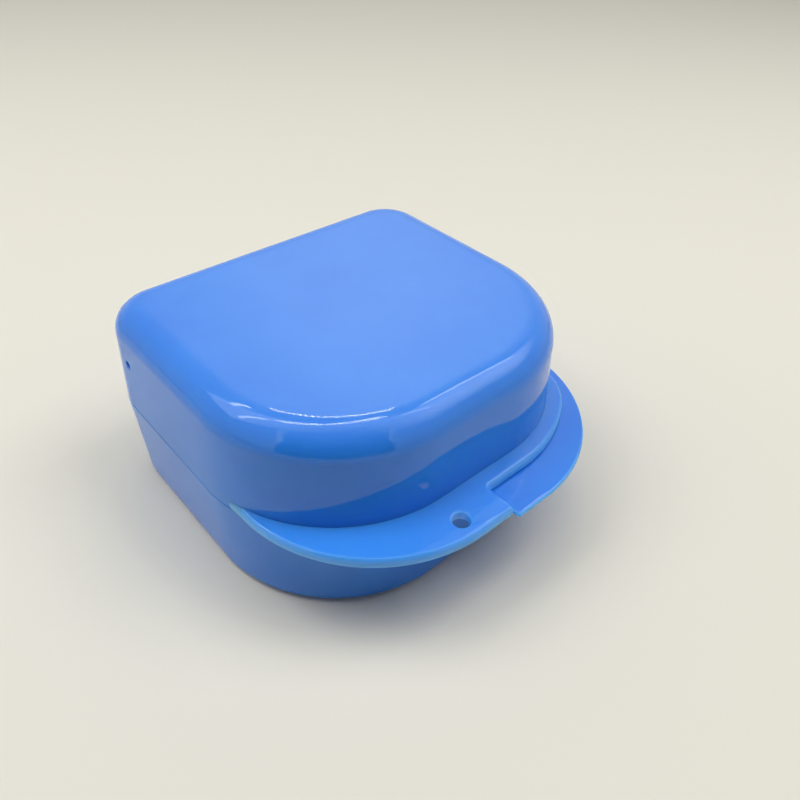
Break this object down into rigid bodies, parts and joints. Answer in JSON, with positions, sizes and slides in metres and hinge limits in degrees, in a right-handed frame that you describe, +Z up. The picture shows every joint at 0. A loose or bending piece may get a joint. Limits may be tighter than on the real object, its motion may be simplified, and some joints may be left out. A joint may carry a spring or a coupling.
{
  "type": "denture case",
  "caption": "D-shaped plastic denture case with a hinged lid, flush walls, a crescent of finger tabs at the seam and a small lanyard hole in the lid's tab.",
  "frame": {"origin": "on the underside, at the middle of the body's outline without the tabs and the hinge; the case stands on it", "axes": "+Z up, +Y to the hinge at the back, -Y to the finger tabs at the front, +X to the base's finger tab"},
  "size_m": [0.08, 0.088, 0.043],
  "materials": {
    "case_plastic": "glossy moulded polypropylene, opaque bright blue"
  },
  "bodies": {
    "base": {"base_shell": "case_plastic", "base_tab": "case_plastic"},
    "lid": {"lid_shell": "case_plastic", "lid_tab": "case_plastic"}
  },
  "joints": [
    {"name": "lid_hinge", "type": "hinge", "parent": "base", "child": "lid", "pos_m": [0, 0.03885, 0.0216], "axis": [-1, 0, 0], "range_deg": [0, 180]}
  ]
}
